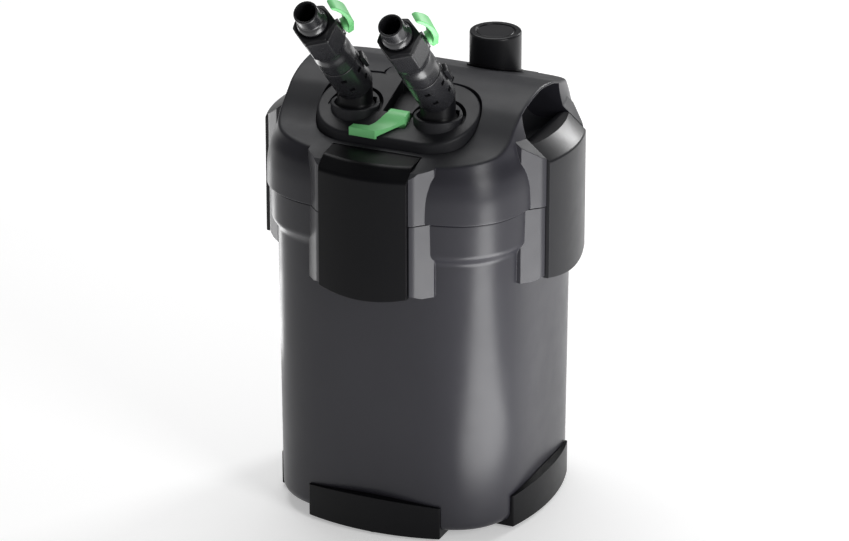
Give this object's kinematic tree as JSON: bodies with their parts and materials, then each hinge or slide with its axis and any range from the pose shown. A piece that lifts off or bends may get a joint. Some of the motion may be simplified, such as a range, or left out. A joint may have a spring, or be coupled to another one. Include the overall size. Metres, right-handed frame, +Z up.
{
  "type": "canister filter",
  "caption": "External aquarium canister filter: clamped pump head, stacked media baskets, lift-off hose adapter with swivelling shut-off valves and a priming button.",
  "frame": {"origin": "on the floor, under the middle of the canister, at the centre bumper's underside", "axes": "+Z up, +X to the right seen from the front, the front with the hose nozzles faces -Y"},
  "size_m": [0.2402, 0.2624, 0.4285],
  "materials": {
    "body_plastic": "satin moulded ABS",
    "black_plastic": "satin black",
    "gloss_black": "gloss black",
    "green_plastic": "light green, satin",
    "inner_plastic": "fine moulded",
    "rubber": "soft black",
    "steel": "stainless pin or spring",
    "laminations": "varnished stator",
    "ferrite": "overmoulded ferrite",
    "ceramic": "dull ceramic",
    "blue_foam": "open cell foam",
    "white_floss": "loose fibre"
  },
  "bodies": {
    "canister": {"canister_shell": "body_plastic", "foot_front": "black_plastic", "foot_right": "black_plastic", "foot_back": "black_plastic", "foot_left": "black_plastic", "bumper_front": "rubber", "bumper_right": "rubber", "bumper_back": "rubber", "bumper_left": "rubber", "bumper_centre": "rubber"},
    "basket_lower": {"basket_lower": "inner_plastic", "coarse_foam": "blue_foam"},
    "basket_middle": {"basket_middle": "inner_plastic", "ceramic_media": "ceramic"},
    "basket_upper": {"basket_upper": "inner_plastic", "fine_foam": "blue_foam", "floss_pad": "white_floss"},
    "head": {"head_housing": "body_plastic", "head_base": "inner_plastic", "head_seal": "rubber", "stator": "laminations", "bush_upper": "rubber", "shaft": "ceramic", "impeller_cover": "inner_plastic", "bush_lower": "rubber", "intake_coupling": "inner_plastic", "prime_well": "black_plastic", "prime_spring": "steel", "cable_gland": "rubber", "clamp_pin_front": "steel", "clamp_pin_right": "steel", "clamp_pin_back": "steel", "clamp_pin_left": "steel"},
    "impeller": {"rotor_magnet": "ferrite", "impeller_wheel": "inner_plastic"},
    "prime": {"prime_button": "black_plastic", "prime_piston": "inner_plastic"},
    "adapter": {"adapter_plate": "body_plastic", "release_pin": "steel"},
    "release": {"release_lever": "green_plastic"},
    "clamp_front": {"clamp_front": "black_plastic"},
    "clamp_right": {"clamp_right": "black_plastic"},
    "clamp_back": {"clamp_back": "black_plastic"},
    "clamp_left": {"clamp_left": "black_plastic"},
    "valve_left": {"valve_elbow_left": "gloss_black", "valve_sleeve_left": "gloss_black", "valve_latch_left": "gloss_black", "valve_body_left": "gloss_black", "hose_nozzle_left": "gloss_black"},
    "lever_left": {"valve_lever_left": "green_plastic", "valve_ball_left": "inner_plastic"},
    "nut_left": {"hose_nut_left": "gloss_black"},
    "valve_right": {"valve_elbow_right": "gloss_black", "valve_sleeve_right": "gloss_black", "valve_latch_right": "gloss_black", "valve_body_right": "gloss_black", "hose_nozzle_right": "gloss_black"},
    "lever_right": {"valve_lever_right": "green_plastic", "valve_ball_right": "inner_plastic"},
    "nut_right": {"hose_nut_right": "gloss_black"}
  },
  "joints": [
    {"name": "head_lift", "type": "slide", "parent": "canister", "child": "head", "axis": [0, 0, 1], "range_m": [0, 0.5]},
    {"name": "basket_lower_lift", "type": "slide", "parent": "canister", "child": "basket_lower", "axis": [0, 0, 1], "range_m": [0, 0.27]},
    {"name": "basket_middle_lift", "type": "slide", "parent": "canister", "child": "basket_middle", "axis": [0, 0, 1], "range_m": [0, 0.36]},
    {"name": "basket_upper_lift", "type": "slide", "parent": "canister", "child": "basket_upper", "axis": [0, 0, 1], "range_m": [0, 0.45]},
    {"name": "clamp_front_swing", "type": "hinge", "parent": "head", "child": "clamp_front", "pos_m": [0, -0.09, 0.2985], "axis": [-1, 0, 0], "range_deg": [0, 75]},
    {"name": "clamp_right_swing", "type": "hinge", "parent": "head", "child": "clamp_right", "pos_m": [0.098, 0, 0.2965], "axis": [0, -1, 0], "range_deg": [0, 75]},
    {"name": "clamp_back_swing", "type": "hinge", "parent": "head", "child": "clamp_back", "pos_m": [0, 0.09, 0.2985], "axis": [1, 0, 0], "range_deg": [0, 75]},
    {"name": "clamp_left_swing", "type": "hinge", "parent": "head", "child": "clamp_left", "pos_m": [-0.098, 0, 0.2965], "axis": [0, 1, 0], "range_deg": [0, 75]},
    {"name": "prime_press", "type": "slide", "parent": "head", "child": "prime", "axis": [0, 0, -1], "range_m": [0, 0.018], "stiffness_N_per_m": 150, "springref_m": -0.012, "deforming": ["prime_spring"]},
    {"name": "impeller_spin", "type": "hinge", "parent": "head", "child": "impeller", "pos_m": [0, 0.02, 0.26], "axis": [0, 0, 1], "continuous": true},
    {"name": "adapter_lift", "type": "slide", "parent": "head", "child": "adapter", "axis": [0, 0, 1], "range_m": [0, 0.06]},
    {"name": "release_tilt", "type": "hinge", "parent": "adapter", "child": "release", "pos_m": [0.0055, -0.0596, 0.3158], "axis": [-1, 0, 0], "range_deg": [0, 30]},
    {"name": "valve_left_swivel", "type": "hinge", "parent": "adapter", "child": "valve_left", "pos_m": [-0.033, -0.052, 0.32], "axis": [0, 0, -1], "range_deg": [0, 35]},
    {"name": "valve_right_swivel", "type": "hinge", "parent": "adapter", "child": "valve_right", "pos_m": [0.033, -0.052, 0.32], "axis": [0, 0, 1], "range_deg": [0, 35]},
    {"name": "lever_left_turn", "type": "hinge", "parent": "valve_left", "child": "lever_left", "pos_m": [-0.033, -0.10786, 0.39286], "axis": [0.7323, 0.4815, 0.4815], "range_deg": [0, 90]},
    {"name": "nut_left_turn", "type": "hinge", "parent": "valve_left", "child": "nut_left", "pos_m": [-0.033, -0.122, 0.407], "axis": [0, -0.7071, 0.7071], "range_deg": [0, 340]},
    {"name": "lever_right_turn", "type": "hinge", "parent": "valve_right", "child": "lever_right", "pos_m": [0.033, -0.10786, 0.39286], "axis": [0.7323, 0.4815, 0.4815], "range_deg": [0, 90]},
    {"name": "nut_right_turn", "type": "hinge", "parent": "valve_right", "child": "nut_right", "pos_m": [0.033, -0.122, 0.407], "axis": [0, -0.7071, 0.7071], "range_deg": [0, 340]}
  ],
  "couplings": [
    {"joint": "basket_upper_lift", "follows": "head_lift", "ratio": 0.9},
    {"joint": "basket_middle_lift", "follows": "head_lift", "ratio": 0.72},
    {"joint": "basket_lower_lift", "follows": "head_lift", "ratio": 0.54}
  ]
}
